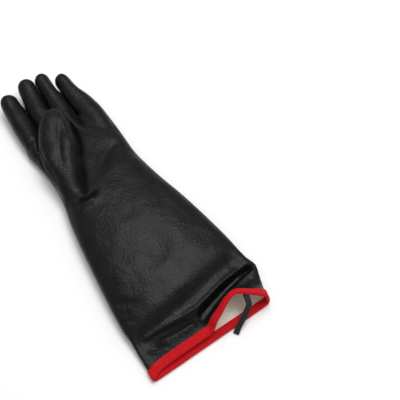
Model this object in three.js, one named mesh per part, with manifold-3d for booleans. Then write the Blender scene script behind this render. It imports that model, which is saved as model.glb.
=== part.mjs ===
// A neoprene gauntlet glove for the left hand, lying palm up with its thumb across the palm.
// The neoprene shell is one dipped piece, hollow to the fingertips. A cotton lining shows in the mouth,
// a tape binds the mouth's edge, and a folded tape sewn inside the edge is the loop it hangs by.
//
// Millimetres, +Z up, palm up. In the tables y runs from the mouth at 0 to the fingertips, and x to the
// right seen from the mouth. The group at the end moves the origin under the middle of the whole glove.

import * as THREE from "three";
import { mergeVertices } from "three/addons/utils/BufferGeometryUtils.js";
import Module from "manifold-3d";

const wasm = await Module();
wasm.setup();

// Thicknesses
const SHELL_WALL = 1.6;
const LINING_WALL = 1.0;
const TAPE = 0.8;
const GAP = 0.3; // between pieces that touch

// Lengths along the glove, from the mouth
const BINDING_DEPTH = 9; // of its leg outside the shell
const BINDING_INSIDE = 7; // of its leg inside the lining
const LINING_END = 230;
const CUFF_END = 72; // the folds near the mouth end here
const PALM_END = 356;
const KNUCKLES = 376; // the web between the fingers
const MOUTH_WASTE = 20; // what the dipped form has past the mouth before it is trimmed
const CORE_WASTE = 30; // how far its hollow runs on past the mouth

// How finely the forms are faceted
const AROUND = 40; // points round the sleeve and palm
const CROWDED = 0.15; // how much closer together they lie on the top and underside than at the edges
const DIGIT_AROUND = 14; // points round a finger
const CUFF_STEP = 9;
const SLEEVE_STEP = 25;

// The sleeve and palm, a flattened tube: its two edges seen from above, and the heights of its top and
// underside
const BODY = [
  { y: 0, left: -84, right: 88.5, top: 14, under: 1.2 },
  { y: 9, left: -84, right: 91, top: 14.5, under: 1.2 },
  { y: 18, left: -84, right: 93, top: 16.5, under: 0 },
  { y: 34, left: -84, right: 96.5, top: 22, under: 0 },
  { y: 47, left: -83.5, right: 98, top: 27, under: 0 },
  { y: 60, left: -85, right: 96, top: 30, under: 0 },
  { y: 76, left: -84.5, right: 93.5, top: 32.5, under: 0 },
  { y: 100, left: -83, right: 90.5, top: 35.5, under: 0 },
  { y: 140, left: -79.5, right: 83.5, top: 38, under: 0 },
  { y: 180, left: -75.5, right: 75.5, top: 39, under: 0 },
  { y: 220, left: -70, right: 66, top: 38, under: 0 },
  { y: 250, left: -64, right: 60.5, top: 36, under: 0 },
  { y: 275, left: -61, right: 57.5, top: 33, under: 0 },
  { y: 300, left: -61, right: 58, top: 30, under: 0 },
  { y: 330, left: -64.5, right: 58.5, top: 27.5, under: 0 },
  { y: 352, left: -68, right: 58, top: 25, under: 0 },
  { y: 364, left: -66, right: 56, top: 22, under: 2.5 },
  { y: 372, left: -62, right: 52, top: 18, under: 6 },
];

// Where the section's side edge stands between its underside and top, and how square its corners are
const EDGE_SHARE = 0.42;
const TOP_SQUARENESS = 2.3;
const UNDER_SQUARENESS = 4;
const PRESSED = 2.5; // how far the floor flattens the round of the underside

// The soft folds across the top near the mouth and the wrist: each runs from one end to the other as a
// ridge of this height (a valley where it is negative), fading out over its width to both sides
const FOLDS = [
  { name: "deep crease", from: [10, 26], to: [74, 38], height: -15, width: 8 },
  { name: "long ridge", from: [-66, 39], to: [80, 50], height: 5, width: 7 },
  { name: "soft valley", from: [-78, 54], to: [44, 66], height: -6, width: 9 },
  { name: "low ridge", from: [-56, 27], to: [-14, 23], height: 4, width: 7 },
  { name: "sleeve dent", from: [2, 108], to: [12, 126], height: -3, width: 22 },
  { name: "wrist ridge", from: [-50, 228], to: [-24, 229], height: 2, width: 7 },
  { name: "thumb crease", from: [-46, 240], to: [-22, 243], height: -6, width: 7 },
  { name: "palm dent", from: [22, 286], to: [48, 296], height: -4, width: 16 },
  { name: "thumb's bed", from: [-34, 316], to: [-24, 350], height: -3.5, width: 22 },
];
const LEAST_HOLLOW = 15.5; // the deepest crease still leaves the upper layer's outside this high
const FOLDS_FROM = [0.05, 0.7]; // how far up the side of the section they fade in

// The upper layer's arch over the open part of the mouth: its height along the mouth, how far it draws
// the edge back there, and how far into the sleeve it reaches
const ARCH = [
  { x: 4, height: 0, back: 0 },
  { x: 13, height: 15, back: 5 },
  { x: 24, height: 20, back: 8 },
  { x: 36, height: 27, back: 13 },
  { x: 48, height: 31, back: 15 },
  { x: 58, height: 30, back: 11 },
  { x: 71, height: 23, back: 4 },
  { x: 87, height: 12, back: 0 },
  { x: 97, height: 0, back: 0 },
];
const ARCH_REACH = 19;
const ARCH_FROM = [0, 0.3]; // how far up the side of the section it fades in
const UPPER_SET_BACK = 4; // the upper edge of the mouth lies this much further in than the lower
const LOWER_BOW = 2.2; // how far the middle of the lower edge bows out

// The mouth runs askew: its left end reaches further out, by this share of the way across from the pivot
const SKEW = { share: 0.045, pivot: 62, fades: 60 };

// The digits: centres of their sections with half widths and half heights, the first inside the palm
const DIGITS = {
  index: [
    { x: -48, y: 326, z: 14, wide: 14, high: 11 },
    { x: -52, y: 362, z: 14.5, wide: 15, high: 13 },
    { x: -52.8, y: 394, z: 15, wide: 14.6, high: 13.4 },
    { x: -52.4, y: 420, z: 17.5, wide: 14, high: 13 },
    { x: -51.8, y: 438, z: 21, wide: 13.2, high: 12.4 },
  ],
  middle: [
    { x: -22, y: 326, z: 14, wide: 14, high: 11 },
    { x: -23, y: 362, z: 15, wide: 14.5, high: 13.5 },
    { x: -23.5, y: 396, z: 16, wide: 14.2, high: 13.4 },
    { x: -22, y: 424, z: 19.5, wide: 13.9, high: 13 },
    { x: -20, y: 447, z: 25, wide: 12.8, high: 12 },
  ],
  ring: [
    { x: 7, y: 326, z: 14, wide: 14, high: 11 },
    { x: 6.2, y: 362, z: 15, wide: 14, high: 13.5 },
    { x: 4.4, y: 396, z: 16, wide: 13.2, high: 13.2 },
    { x: 4.8, y: 424, z: 20, wide: 12.4, high: 12.8 },
    { x: 5.3, y: 444, z: 25, wide: 12, high: 12 },
  ],
  little: [
    { x: 38, y: 326, z: 14, wide: 17, high: 11 },
    { x: 38.5, y: 358, z: 14.5, wide: 18.5, high: 13 },
    { x: 36, y: 388, z: 15.5, wide: 16, high: 13 },
    { x: 31, y: 411, z: 18, wide: 12.8, high: 12.6 },
    { x: 28, y: 432, z: 22, wide: 12.2, high: 11.8 },
  ],
  thumb: [
    { x: -44, y: 248, z: 19, wide: 11, high: 12 },
    { x: -42.5, y: 266, z: 24, wide: 15, high: 14 },
    { x: -39, y: 287, z: 30.5, wide: 21, high: 14.5 },
    { x: -36, y: 306, z: 35.5, wide: 25, high: 13.5 },
    { x: -31.5, y: 324, z: 39, wide: 26, high: 13 },
    { x: -26, y: 341, z: 40.5, wide: 24, high: 12.5 },
    { x: -20, y: 357, z: 41.5, wide: 20.5, high: 12.5 },
    { x: -15.5, y: 369, z: 41.5, wide: 16, high: 12 },
  ],
};
const TIP_RINGS = 3; // rings that round off a fingertip
const TIP_FLAT = 0.4; // share of a ring left as the flat of its end

// The hanging loop: a tape folded in two. It is sewn flat under the upper edge of the mouth, and from
// there the middle of its course runs forward over the lower edge and down to the floor.
const LOOP_WIDTH = 7.5;
const LOOP_TAPE = 1.1;
const LOOP_SLIT = 0.5; // between its two layers
const LOOP_SEAT = 66; // where across the mouth it is sewn
const LOOP_LEAVES = 0.8; // how far it has come off its seat at the mouth's edge
const LOOP_LEVELS = [0.15, 1]; // over this share of its course it turns from its seat to level
const LOOP_COURSE = [
  { x: 61.5, y: 6, z: 20 },
  { x: 55.5, y: 1.5, z: 13.8 },
  { x: 47.5, y: -2.5, z: 9.9 },
  { x: 39, y: -6.8, z: 6.4 },
  { x: 34.5, y: -9.5, z: 3.6 },
  { x: 31.5, y: -11.4, z: 1.9 },
];

// A column of a table at any place along it, on a smooth curve through its rows
function valueAt(table, key, place, column) {
  const last = table.length - 1;
  if (place <= table[0][key]) return table[0][column];
  if (place >= table[last][key]) return table[last][column];
  const i = table.findIndex((row) => row[key] > place) - 1;
  const [a, b] = [table[i], table[i + 1]];
  const slope = (j) => {
    const [before, after] = [table[Math.max(j - 1, 0)], table[Math.min(j + 1, last)]];
    return (after[column] - before[column]) / (after[key] - before[key]);
  };
  const step = b[key] - a[key];
  const s = (place - a[key]) / step;
  return (
    a[column] * (1 + 2 * s) * (1 - s) ** 2 +
    b[column] * (3 - 2 * s) * s ** 2 +
    step * s * (1 - s) * (slope(i) * (1 - s) - slope(i + 1) * s)
  );
}

// How much the folds lift the top at a place seen from above
function foldHeight(x, y) {
  return FOLDS.reduce((sum, { from, to, height, width }) => {
    const run = [to[0] - from[0], to[1] - from[1]];
    const along = ((x - from[0]) * run[0] + (y - from[1]) * run[1]) / (run[0] ** 2 + run[1] ** 2);
    const s = THREE.MathUtils.clamp(along, 0, 1);
    const away = Math.hypot(x - from[0] - s * run[0], y - from[1] - s * run[1]);
    return sum + height * Math.exp(-((away / width) ** 2));
  }, 0);
}

// A point of the sleeve or palm: at y, at an angle round the section, and inset into the wall.
// Every layer takes its folds from the outer surface, so the layers stay one inside the other.
function skinPoint(y, angle, inset) {
  const [left, right, top] = ["left", "right", "top"].map((column) => valueAt(BODY, "y", y, column));
  const under = Math.max(valueAt(BODY, "y", y, "under"), 0);
  const middle = (left + right) / 2;
  const half = (right - left) / 2;
  const edge = under + EDGE_SHARE * (top - under);
  const [c, s] = [Math.cos(angle), Math.sin(angle)];
  const round = 2 / (s >= 0 ? TOP_SQUARENESS : UNDER_SQUARENESS);
  const across = Math.sign(c) * Math.abs(c) ** round;
  const up = Math.abs(s) ** round;
  const outerX = middle + half * across;
  const lifted = THREE.MathUtils.smoothstep(s, ...FOLDS_FROM);
  const arched = THREE.MathUtils.smoothstep(s, ...ARCH_FROM) * Math.exp(-((y / ARCH_REACH) ** 2));
  const plain = edge + (top - edge) * up;
  const folded = plain + lifted * foldHeight(outerX, y) + arched * valueAt(ARCH, "x", outerX, "height");
  const least = edge + (Math.min(under + LEAST_HOLLOW, top) - edge) * up;
  const z =
    s >= 0
      ? Math.max(folded, least) - inset * up
      : Math.max(edge - (edge - under - inset + PRESSED) * up, under + inset);
  const askew = SKEW.share * (outerX - SKEW.pivot);
  const apart = s >= 0 ? lifted * UPPER_SET_BACK : s * LOWER_BOW;
  const drawn = arched * valueAt(ARCH, "x", outerX, "back");
  const along = y + (askew + apart) * Math.exp(-y / SKEW.fades) + drawn;
  return new THREE.Vector3(middle + (half - inset) * across, along, z);
}

const angles = Array.from({ length: AROUND }, (_, k) => {
  const turn = (2 * Math.PI * k) / AROUND;
  return turn + CROWDED * Math.sin(2 * turn);
});
const skinRing = (y, inset) => angles.map((angle) => skinPoint(y, angle, inset));

// Places along the glove where the sleeve gets a section, closer together where the folds are
const STATIONS = [0, BINDING_INSIDE, BINDING_DEPTH];
for (let y = BINDING_DEPTH + CUFF_STEP; y < CUFF_END; y += CUFF_STEP) STATIONS.push(y);
const sleeveSteps = Math.round((PALM_END - CUFF_END) / SLEEVE_STEP);
for (let i = 0; i <= sleeveSteps; i++) STATIONS.push(CUFF_END + (i * (PALM_END - CUFF_END)) / sleeveSteps);

// A closed mesh from rings of equal length: a skin between neighbours, a fan over each end, or, for a
// chain of rings that meets itself, a last skin back to the first. Skins that run back along the glove
// split their quads the other way, so that the layers' facets lie parallel.
function ringMesh(rings, meets = false) {
  const n = rings[0].length;
  const points = rings.flat();
  const faces = [];
  const skin = (a, b) => {
    const back = rings[a][0].y > rings[b][0].y;
    for (let k = 0; k < n; k++) {
      const l = (k + 1) % n;
      const [p, q, r, s] = [a * n + k, a * n + l, b * n + l, b * n + k];
      faces.push(...(back ? [p, q, s, q, r, s] : [p, q, r, p, r, s]));
    }
  };
  for (let i = 0; i + 1 < rings.length; i++) skin(i, i + 1);
  if (meets) skin(rings.length - 1, 0);
  else {
    for (const [ring, turned] of [[0, true], [rings.length - 1, false]]) {
      const hub = points.length;
      points.push(rings[ring].reduce((sum, p) => sum.add(p), new THREE.Vector3()).divideScalar(n));
      for (let k = 0; k < n; k++) {
        const [p, q] = [ring * n + k, ring * n + ((k + 1) % n)];
        faces.push(hub, turned ? q : p, turned ? p : q);
      }
    }
  }
  const geometry = new THREE.BufferGeometry().setFromPoints(points);
  geometry.setIndex(faces);
  return geometry;
}

// Rings made in the sense of the angle above, with y rising, face inwards, so they are read backwards
const outward = (rings) => rings.map((ring) => [...ring].reverse());

function solidOf(geometry) {
  const merged = mergeVertices(geometry, 1e-4);
  return new wasm.Manifold(
    new wasm.Mesh({
      numProp: 3,
      vertProperties: merged.attributes.position.array,
      triVerts: new Uint32Array(merged.index.array),
    }),
  );
}

function geometryOf(solid) {
  const { vertProperties, triVerts } = solid.getMesh();
  const geometry = new THREE.BufferGeometry();
  geometry.setAttribute("position", new THREE.BufferAttribute(vertProperties, 3));
  geometry.setIndex(new THREE.BufferAttribute(triVerts, 1));
  geometry.computeVertexNormals();
  return geometry;
}

// The mouth's ring moved out of the glove
const beyond = (inset, out) => skinRing(0, inset).map((p) => p.setY(p.y - out));

// The filled form of the sleeve and palm, inset by a wall or not, and run on past the mouth by its waste
function bodySolid(inset, waste) {
  const ends = [...STATIONS, (PALM_END + KNUCKLES) / 2 - inset, KNUCKLES - inset];
  const rings = [beyond(inset, waste), ...ends.map((y) => skinRing(y, inset))];
  return solidOf(ringMesh(outward(rings)));
}

// What is trimmed off past the mouth, all round its wall
function mouthTrim() {
  const [outer, inner] = [-2 * SHELL_WALL, 2 * SHELL_WALL];
  const end = 2 * MOUTH_WASTE;
  const rings = [beyond(outer, 0), beyond(inner, 0), beyond(inner, end), beyond(outer, end)];
  return solidOf(ringMesh(outward(rings), true));
}

// The filled form of one digit: oval sections square to its course, and a rounded tip
function digitSolid(rows, inset) {
  const course = new THREE.CatmullRomCurve3(rows.map(({ x, y, z }) => new THREE.Vector3(x, y, z)));
  const ring = (centre, along, wide, high) => {
    const side = new THREE.Vector3().crossVectors(along, new THREE.Vector3(0, 0, 1)).normalize();
    const up = new THREE.Vector3().crossVectors(side, along).normalize();
    return Array.from({ length: DIGIT_AROUND }, (_, k) => {
      const angle = (2 * Math.PI * k) / DIGIT_AROUND;
      return centre
        .clone()
        .addScaledVector(side, wide * Math.cos(angle))
        .addScaledVector(up, high * Math.sin(angle));
    });
  };
  const rings = rows.map((row, i) => {
    const along = course.getTangent(i / (rows.length - 1));
    return ring(new THREE.Vector3(row.x, row.y, row.z), along, row.wide - inset, row.high - inset);
  });
  const tip = rows[rows.length - 1];
  const along = course.getTangent(1);
  for (let i = 1; i <= TIP_RINGS; i++) {
    const turn = (i / (TIP_RINGS + TIP_FLAT)) * (Math.PI / 2);
    const centre = new THREE.Vector3(tip.x, tip.y, tip.z);
    centre.addScaledVector(along, (tip.high - inset) * Math.sin(turn));
    const share = Math.cos(turn);
    rings.push(ring(centre, along, (tip.wide - inset) * share, (tip.high - inset) * share));
  }
  return solidOf(ringMesh(outward(rings)));
}

function gloveForm(inset, waste) {
  const digits = Object.values(DIGITS).map((rows) => digitSolid(rows, inset));
  return digits.reduce((sum, digit) => sum.add(digit), bodySolid(inset, waste));
}

function shellGeometry() {
  const dipped = gloveForm(0, MOUTH_WASTE).subtract(gloveForm(SHELL_WALL, CORE_WASTE));
  return geometryOf(dipped.subtract(mouthTrim()));
}

// The lining: a sleeve of cloth inside the shell, from the mouth to the wrist
function liningGeometry() {
  const outer = SHELL_WALL + GAP;
  const inner = outer + LINING_WALL;
  const places = STATIONS.filter((y) => y <= LINING_END);
  const outside = places.map((y) => skinRing(y, outer));
  const inside = places.map((y) => skinRing(y, inner)).reverse();
  return ringMesh(outward([...outside, ...inside]), true);
}

// The binding: a tape folded over the mouth's edge, with one leg outside the shell and one inside the lining
const TAPE_INSIDE = SHELL_WALL + GAP + LINING_WALL + GAP;

function bindingGeometry() {
  const rings = [
    skinRing(BINDING_DEPTH, -GAP),
    skinRing(BINDING_INSIDE, -GAP),
    beyond(-GAP, 0),
    beyond(-GAP, GAP),
    beyond(TAPE_INSIDE, GAP),
    beyond(TAPE_INSIDE, 0),
    skinRing(BINDING_INSIDE, TAPE_INSIDE),
    skinRing(BINDING_INSIDE, TAPE_INSIDE + TAPE),
    beyond(TAPE_INSIDE + TAPE, GAP),
    beyond(TAPE_INSIDE - GAP, GAP + TAPE),
    beyond(0, GAP + TAPE),
    beyond(-GAP - TAPE, GAP),
    skinRing(BINDING_INSIDE, -GAP - TAPE),
    skinRing(BINDING_DEPTH, -GAP - TAPE),
  ];
  return ringMesh(outward(rings), true);
}

// Where the loop is sewn: the facet of the binding's inner leg that lies nearest to its seat
function loopSeat() {
  const [deep, edge] = [BINDING_INSIDE, 0].map((y) => skinRing(y, TAPE_INSIDE + TAPE));
  const off = (k) => Math.abs((deep[k].x + deep[k + 1].x) / 2 - LOOP_SEAT);
  const k = [...Array(AROUND / 2).keys()].reduce((best, i) => (off(i) < off(best) ? i : best));
  const middle = (ring) => ring[k].clone().lerp(ring[k + 1], 0.5);
  const side = deep[k].clone().sub(deep[k + 1]).normalize();
  const along = middle(edge).sub(middle(deep)).normalize();
  const down = new THREE.Vector3().crossVectors(side, along).normalize();
  const clear = GAP + LOOP_TAPE + LOOP_SLIT / 2;
  return {
    side,
    points: [
      middle(deep).addScaledVector(down, clear),
      middle(edge).addScaledVector(down, clear + LOOP_LEAVES),
    ],
  };
}

// The hanging loop: out along the lower layer, round the fold, and back along the upper one
function loopGeometry() {
  const seat = loopSeat();
  const free = LOOP_COURSE.map(({ x, y, z }) => new THREE.Vector3(x, y, z));
  const course = new THREE.CatmullRomCurve3([...seat.points, ...free]);
  const steps = 2 * (free.length + 1);
  const apart = (LOOP_SLIT + LOOP_TAPE) / 2;
  const frames = Array.from({ length: steps + 1 }, (_, i) => {
    const along = course.getTangent(i / steps);
    const level = new THREE.Vector3().crossVectors(along, new THREE.Vector3(0, 0, 1)).normalize();
    const share = THREE.MathUtils.smoothstep(i / steps, ...LOOP_LEVELS);
    const side = seat.side.clone().negate().lerp(level, share);
    side.addScaledVector(along, -side.dot(along)).normalize();
    const up = new THREE.Vector3().crossVectors(side, along).normalize();
    return { at: course.getPoint(i / steps), along, side, up };
  });
  const ring = ({ at, along, side, up }, turn) => {
    const normal = up.clone().multiplyScalar(Math.cos(turn)).addScaledVector(along, Math.sin(turn));
    const middle = at.clone().addScaledVector(normal, apart);
    return [[-1, -1], [1, -1], [1, 1], [-1, 1]].map(([a, b]) =>
      middle
        .clone()
        .addScaledVector(side, (a * LOOP_WIDTH) / 2)
        .addScaledVector(normal, (b * LOOP_TAPE) / 2),
    );
  };
  const bend = [0.75, 0.5, 0.25].map((share) => ring(frames[steps], Math.PI * share));
  const lower = frames.map((frame) => ring(frame, Math.PI));
  const upper = [...frames].reverse().map((frame) => ring(frame, 0));
  return ringMesh([...lower, ...bend, ...upper]);
}

const MATERIALS = {
  neoprene: new THREE.MeshStandardMaterial({ color: 0x151515, roughness: 0.45, metalness: 0 }),
  cotton: new THREE.MeshStandardMaterial({ color: 0xd9cbb8, roughness: 0.95, metalness: 0 }),
  redTape: new THREE.MeshStandardMaterial({ color: 0xc4141c, roughness: 0.8, metalness: 0 }),
  blackTape: new THREE.MeshStandardMaterial({ color: 0x1c1e1c, roughness: 0.85, metalness: 0 }),
};

const glove = new THREE.Group();
const pieces = [
  ["shell", shellGeometry(), MATERIALS.neoprene],
  ["lining", liningGeometry(), MATERIALS.cotton],
  ["edge_binding", bindingGeometry(), MATERIALS.redTape],
  ["hang_loop", loopGeometry(), MATERIALS.blackTape],
];
for (const [name, geometry, material] of pieces) {
  const mesh = new THREE.Mesh(geometry, material);
  mesh.name = name;
  glove.add(mesh);
}

// The origin goes to the floor under the middle of the glove's box
const box = new THREE.Box3().setFromObject(glove);
const centre = box.getCenter(new THREE.Vector3());
glove.position.set(-centre.x, -centre.y, -box.min.z);

export default glove;
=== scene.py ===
# %% [markdown]
# A neoprene gauntlet glove
#
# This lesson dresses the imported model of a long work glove. The real glove is one skin of black
# neoprene, dipped over a hand form, with a cotton lining, a red tape round its mouth and a black loop
# to hang it by. It lies palm up with its thumb across the palm.
#
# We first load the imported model. It fixes the size and place of everything: each new piece is made in
# the same frame, in metres, and takes the place of one plain solid.

# %% Load the frame
import math

import bmesh
import bpy
import numpy as np
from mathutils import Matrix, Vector, noise


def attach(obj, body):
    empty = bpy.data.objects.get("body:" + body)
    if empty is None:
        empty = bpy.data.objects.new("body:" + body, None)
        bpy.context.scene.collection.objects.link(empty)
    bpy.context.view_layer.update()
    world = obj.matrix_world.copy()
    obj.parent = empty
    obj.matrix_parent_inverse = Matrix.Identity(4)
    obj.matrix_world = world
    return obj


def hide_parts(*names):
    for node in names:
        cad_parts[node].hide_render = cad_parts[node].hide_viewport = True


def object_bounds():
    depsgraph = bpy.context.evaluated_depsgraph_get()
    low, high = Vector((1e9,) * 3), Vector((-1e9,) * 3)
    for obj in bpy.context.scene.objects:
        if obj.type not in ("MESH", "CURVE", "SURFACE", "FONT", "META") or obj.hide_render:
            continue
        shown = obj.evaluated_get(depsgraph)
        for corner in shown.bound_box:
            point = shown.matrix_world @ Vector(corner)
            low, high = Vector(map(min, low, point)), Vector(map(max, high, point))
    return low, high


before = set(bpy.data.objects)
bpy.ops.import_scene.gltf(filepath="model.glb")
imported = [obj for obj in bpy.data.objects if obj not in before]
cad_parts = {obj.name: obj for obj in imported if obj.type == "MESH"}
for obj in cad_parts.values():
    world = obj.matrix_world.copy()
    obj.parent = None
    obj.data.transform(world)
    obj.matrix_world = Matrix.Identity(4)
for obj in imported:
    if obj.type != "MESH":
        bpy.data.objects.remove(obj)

MM = 0.001
cad_low, cad_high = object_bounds()
print("the model's box, mm:", [round((h - l) / MM, 1) for l, h in zip(cad_low, cad_high)])

# %% [markdown]
# Camera, floor and light
#
# The glove is seen from above at 60 degrees, from the left of its mouth, with a long lens. The floor is a
# plain pale sheet. Black rubber shows its form by what it reflects, so the light is one large soft box
# overhead, which the sleeve mirrors and the hand, sloping away from us, does not. The studio round it
# darkens towards the floor, and so do the steep sides of the folds that mirror it. Colours are shown as
# they are, with no film curve, so that white stays white and the red tape stays red.

# %% Camera
LENS, SENSOR = 68.4, 36.0
ELEVATION, AZIMUTH = 60.0, -32.77
CAMERA_PLACE = (-0.18644, -0.48026, 0.8835)
NEAREST, FURTHEST = 0.01, 20.0  # what the camera can see, in metres


def add_camera():
    data = bpy.data.cameras.new("camera")
    data.lens = LENS
    data.sensor_width = SENSOR
    data.clip_start, data.clip_end = NEAREST, FURTHEST
    camera = bpy.data.objects.new("camera", data)
    camera.location = CAMERA_PLACE
    camera.rotation_euler = (math.radians(90 - ELEVATION), 0, math.radians(AZIMUTH))
    bpy.context.collection.objects.link(camera)
    bpy.context.scene.camera = camera


add_camera()

# %% Floor and lights
FLOOR_SIZE = 40.0
FLOOR_WHITE, FLOOR_ROUGHNESS = (0.9, 0.9, 0.9), 0.9
PANELS = [
    {"name": "overhead_box", "place": (0.52, 0.18, 2.0), "size": (1.8, 0.9), "power": 31},
]
HORIZON_STRENGTH, ZENITH_STRENGTH = 0.30, 0.70
bpy.context.scene.view_settings.view_transform = "Standard"


def plain_colour(name, colour, roughness):
    material = bpy.data.materials.new(name)
    material.use_nodes = True
    shader = material.node_tree.nodes["Principled BSDF"]
    shader.inputs["Base Color"].default_value = (*colour, 1)
    shader.inputs["Roughness"].default_value = roughness
    return material


def add_floor():
    bpy.ops.object.select_all(action="DESELECT")
    bpy.ops.mesh.primitive_plane_add(size=FLOOR_SIZE, location=(0, 0, cad_low.z))
    floor = bpy.context.object
    floor.name = "floor"
    bpy.ops.object.transform_apply(location=True, rotation=True, scale=True)
    floor.data.materials.append(plain_colour("floor_white", FLOOR_WHITE, FLOOR_ROUGHNESS))


def add_panel(name, place, size, power):
    data = bpy.data.lights.new(name, "AREA")
    data.shape = "RECTANGLE"
    data.size, data.size_y = size
    data.energy = power
    panel = bpy.data.objects.new(name, data)
    panel.location = place
    panel.rotation_euler = Vector(place).to_track_quat("Z", "Y").to_euler()
    bpy.context.collection.objects.link(panel)


def light_world():
    world = bpy.data.worlds.new("studio")
    bpy.context.scene.world = world
    world.use_nodes = True
    nodes, links = world.node_tree.nodes, world.node_tree.links
    direction = nodes.new("ShaderNodeTexCoord")
    parts = nodes.new("ShaderNodeSeparateXYZ")
    strength = nodes.new("ShaderNodeMapRange")
    strength.inputs["To Min"].default_value = HORIZON_STRENGTH
    strength.inputs["To Max"].default_value = ZENITH_STRENGTH
    links.new(direction.outputs["Generated"], parts.inputs["Vector"])
    links.new(parts.outputs["Z"], strength.inputs["Value"])
    links.new(strength.outputs["Result"], nodes["Background"].inputs["Strength"])
    nodes["Background"].inputs["Color"].default_value = (1, 1, 1, 1)


add_floor()
for panel in PANELS:
    add_panel(**panel)
light_world()
print("panels:", len(PANELS))

# %% [markdown]
# The glove's own measures
#
# All tables are in millimetres, with the middle of the mouth as their start: x runs to the right seen
# from the mouth, y to the fingertips and z up. They are the few sections that the solid is made from,
# and some rows are fitted up to 3 mm closer to the real glove. A smooth curve through the rows gives
# every size in between.

# %% The glove's axes and a smooth table
MOUTH = Vector((-6.44, -221.86, 0)) * MM  # the middle of the mouth in the frame


def at(x, y, z):
    return Vector((x, y, z)) * MM + MOUTH


def value_at(table, key, place, column):
    """A column of a table at any place along it, on a smooth curve through its rows."""
    keys = np.array([row[key] for row in table], float)
    values = np.array([row[column] for row in table], float)
    near = np.arange(len(keys))
    before, after = np.maximum(near - 1, 0), np.minimum(near + 1, len(keys) - 1)
    slopes = (values[after] - values[before]) / (keys[after] - keys[before])
    place = np.clip(place, keys[0], keys[-1])
    i = np.clip(np.searchsorted(keys, place, side="right") - 1, 0, len(keys) - 2)
    step = keys[i + 1] - keys[i]
    s = (place - keys[i]) / step
    bend = step * s * (1 - s) * (slopes[i] * (1 - s) - slopes[i + 1] * s)
    return values[i] * (1 + 2 * s) * (1 - s) ** 2 + values[i + 1] * (3 - 2 * s) * s**2 + bend


def smoothstep(low, high, value):
    s = np.clip((value - low) / (high - low), 0, 1)
    return s * s * (3 - 2 * s)


def named_rows(columns, *rows):
    """A table: its columns are named once, and every row can be read by their names."""
    return [dict(zip(columns.split(), row)) for row in rows]


# %% The sleeve and palm
BODY = named_rows(
    "y left right top under",
    (0, -84, 88.5, 14, 1.2),
    (9, -84, 91, 14.5, 1.2),
    (18, -84, 93, 16.5, 0),
    (34, -84, 97.5, 22, 0),
    (47, -83.5, 101, 27, 0),
    (60, -85, 96, 30, 0),
    (76, -84.5, 93.5, 32.5, 0),
    (100, -83, 90.5, 35.5, 0),
    (140, -79.5, 83.5, 38, 0),
    (180, -75.5, 75.5, 39, 0),
    (220, -70, 66, 38, 0),
    (250, -64, 60.5, 36, 0),
    (275, -61, 57.5, 33, 0),
    (300, -61, 58, 30, 0),
    (330, -64.5, 58.5, 27.5, 0),
    (352, -68, 58, 25, 0),
    (364, -66, 56, 22, 2.5),
    (372, -62, 52, 18, 6),
)
EDGE_SHARE = 0.42  # where the section's side edge stands between its underside and top
TOP_SQUARENESS, UNDER_SQUARENESS = 2.3, 4.0
PRESSED = 2.5  # how far the floor flattens the round of the underside


def body_sizes(y):
    """The middle, half width, top and underside of the sleeve at y, and how high its side edge stands."""
    left, right, top = (value_at(BODY, "y", y, column) for column in ("left", "right", "top"))
    under = np.maximum(value_at(BODY, "y", y, "under"), 0)
    return (left + right) / 2, (right - left) / 2, top, under, under + EDGE_SHARE * (top - under)


def section(turn, y, out=0):
    """A point of the flattened section at y: turned from its right edge over its top, and grown by out."""
    middle, half, top, under, edge = body_sizes(y)
    half, top, under = half + out, top + out, under - out
    c, s = np.cos(turn), np.sin(turn)
    roundness = 2 / np.where(s >= 0, TOP_SQUARENESS, UNDER_SQUARENESS)
    across = np.sign(c) * np.abs(c) ** roundness
    up = np.abs(s) ** roundness
    low = np.maximum(edge - (edge - under + PRESSED) * up, under)
    return np.stack([middle + half * across, y, np.where(s >= 0, edge + (top - edge) * up, low)], axis=1)


def flattened(points):
    """Turns the oval sections of a tube into the flattened ones of a glove that lies on the floor."""
    x, y, z = points.T
    middle, half, top, under, _ = body_sizes(y)
    return section(np.arctan2((z - (top + under) / 2) / (top - under), (x - middle) / half / 2), y)


# %% [markdown]
# One form out of six
#
# A dipped glove has no seams, so its sleeve, palm, fingers and thumb have to become one skin. Each is
# grown by hand from a filled circle: extrude, then resize and turn the new end. The six forms are joined
# and remeshed in small voxels, as a sculptor would, and the remesh melts them into one.
#
# Voxels would also melt fingers that lie side by side. So a finger's sides that face another are made a
# little too slim, and the free part of the thumb a little too high. Both are put right after the remesh.

# %% Growing a form
def deselect_all():
    if bpy.context.object and bpy.context.object.mode != "OBJECT":
        bpy.ops.object.mode_set(mode="OBJECT")
    bpy.ops.object.select_all(action="DESELECT")


def select_only(piece):
    deselect_all()
    piece.select_set(True)
    bpy.context.view_layer.objects.active = piece


def edit_all(piece):
    """Opens a piece for editing, with all of it selected."""
    select_only(piece)
    bpy.ops.object.mode_set(mode="EDIT")
    bpy.ops.mesh.select_all(action="SELECT")


def apply_modifier(piece, kind, **settings):
    select_only(piece)
    modifier = piece.modifiers.new(kind.lower(), kind)
    for name, value in settings.items():
        setattr(modifier, name, value)
    bpy.ops.object.modifier_apply(modifier=modifier.name)


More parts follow.
